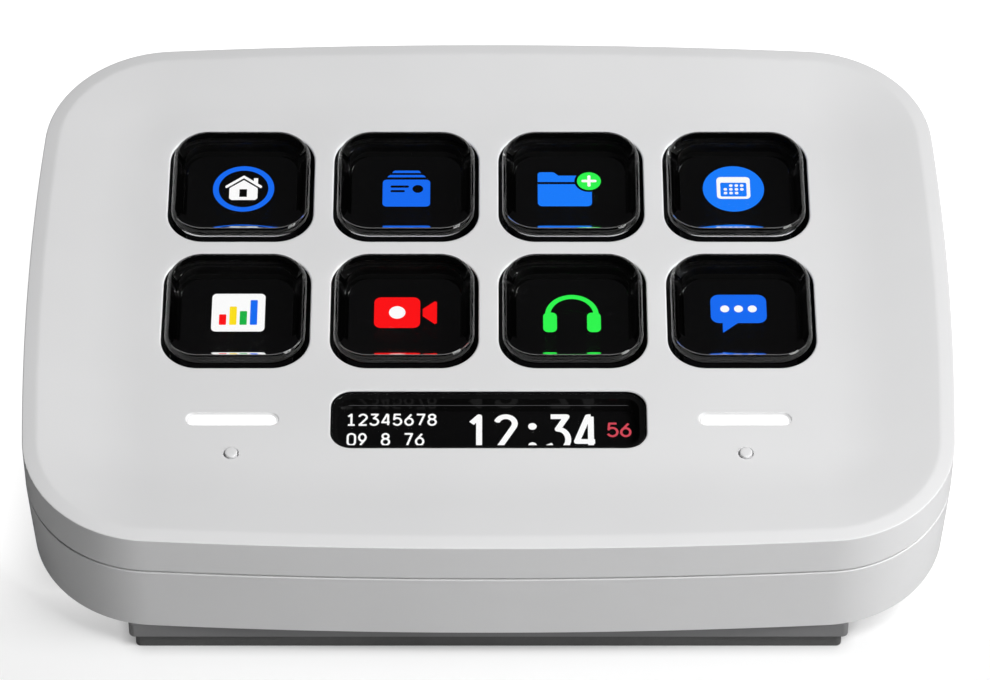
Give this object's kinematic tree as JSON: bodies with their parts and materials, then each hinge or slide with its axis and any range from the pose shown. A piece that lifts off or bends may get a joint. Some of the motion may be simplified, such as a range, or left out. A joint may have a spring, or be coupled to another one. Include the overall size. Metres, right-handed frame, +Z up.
{
  "type": "desktop display key pad",
  "caption": "Low white wedge-shaped desk pad with clear square display keys in a grid, a narrow display bar below them and a lit touch slot on each side of it.",
  "frame": {"origin": "on the desk, under the middle of the whole object's bounding box", "axes": "+X to the user's right, +Y away from the user towards the high rear edge, +Z up from the desk"},
  "size_m": [0.107, 0.0786, 0.0272],
  "materials": {
    "shell": "fine satin, slightly warm white",
    "foot_plastic": "matt and darker than the shells",
    "foot_rubber": "matt",
    "steel_plate": "plain zinc-plated sheet",
    "screw_steel": "plain",
    "dark_plastic": "matt",
    "clear_plastic": "polished and clear",
    "mat_rubber": "matt silicone",
    "circuit_board": "solder mask",
    "display_glass": "black and glossy",
    "light_sheet": "matt white",
    "tray_metal": "dark and satin",
    "glow_plastic": "milky and lit from below",
    "chip_black": "matt",
    "led_white": "clear epoxy over phosphor",
    "socket_steel": "drawn sheet",
    "ribbon": "amber film"
  },
  "bodies": {
    "housing": {"top_cover": "shell", "bottom_cover": "shell", "base_plinth": "foot_plastic", "foot_pad": "foot_rubber", "ballast_plate": "steel_plate", "key_guide": "dark_plastic", "key_mat": "mat_rubber", "key_board": "circuit_board", "key_display": "display_glass", "backlight": "light_sheet", "display_tray": "tray_metal", "info_window": "clear_plastic", "info_display": "display_glass", "touch_board": "circuit_board", "touch_leds": "led_white", "left_light_bar": "glow_plastic", "right_light_bar": "glow_plastic", "main_board": "circuit_board", "board_chips": "chip_black", "usb_socket": "socket_steel", "display_flex": "ribbon", "info_flex": "ribbon", "housing_screws": "screw_steel", "tray_screws": "screw_steel", "board_screws": "screw_steel", "plinth_screws": "screw_steel"},
    "key_1": {"key_1": "clear_plastic"},
    "key_2": {"key_2": "clear_plastic"},
    "key_3": {"key_3": "clear_plastic"},
    "key_4": {"key_4": "clear_plastic"},
    "key_5": {"key_5": "clear_plastic"},
    "key_6": {"key_6": "clear_plastic"},
    "key_7": {"key_7": "clear_plastic"},
    "key_8": {"key_8": "clear_plastic"}
  },
  "joints": [
    {"name": "press_key_1", "type": "slide", "parent": "housing", "child": "key_1", "axis": [0, 0.0958, -0.9954], "range_m": [0, 0.001], "stiffness_N_per_m": 400, "springref_m": -0.0005},
    {"name": "press_key_2", "type": "slide", "parent": "housing", "child": "key_2", "axis": [0, 0.0958, -0.9954], "range_m": [0, 0.001], "stiffness_N_per_m": 400, "springref_m": -0.0005},
    {"name": "press_key_3", "type": "slide", "parent": "housing", "child": "key_3", "axis": [0, 0.0958, -0.9954], "range_m": [0, 0.001], "stiffness_N_per_m": 400, "springref_m": -0.0005},
    {"name": "press_key_4", "type": "slide", "parent": "housing", "child": "key_4", "axis": [0, 0.0958, -0.9954], "range_m": [0, 0.001], "stiffness_N_per_m": 400, "springref_m": -0.0005},
    {"name": "press_key_5", "type": "slide", "parent": "housing", "child": "key_5", "axis": [0, 0.0958, -0.9954], "range_m": [0, 0.001], "stiffness_N_per_m": 400, "springref_m": -0.0005},
    {"name": "press_key_6", "type": "slide", "parent": "housing", "child": "key_6", "axis": [0, 0.0958, -0.9954], "range_m": [0, 0.001], "stiffness_N_per_m": 400, "springref_m": -0.0005},
    {"name": "press_key_7", "type": "slide", "parent": "housing", "child": "key_7", "axis": [0, 0.0958, -0.9954], "range_m": [0, 0.001], "stiffness_N_per_m": 400, "springref_m": -0.0005},
    {"name": "press_key_8", "type": "slide", "parent": "housing", "child": "key_8", "axis": [0, 0.0958, -0.9954], "range_m": [0, 0.001], "stiffness_N_per_m": 400, "springref_m": -0.0005}
  ]
}
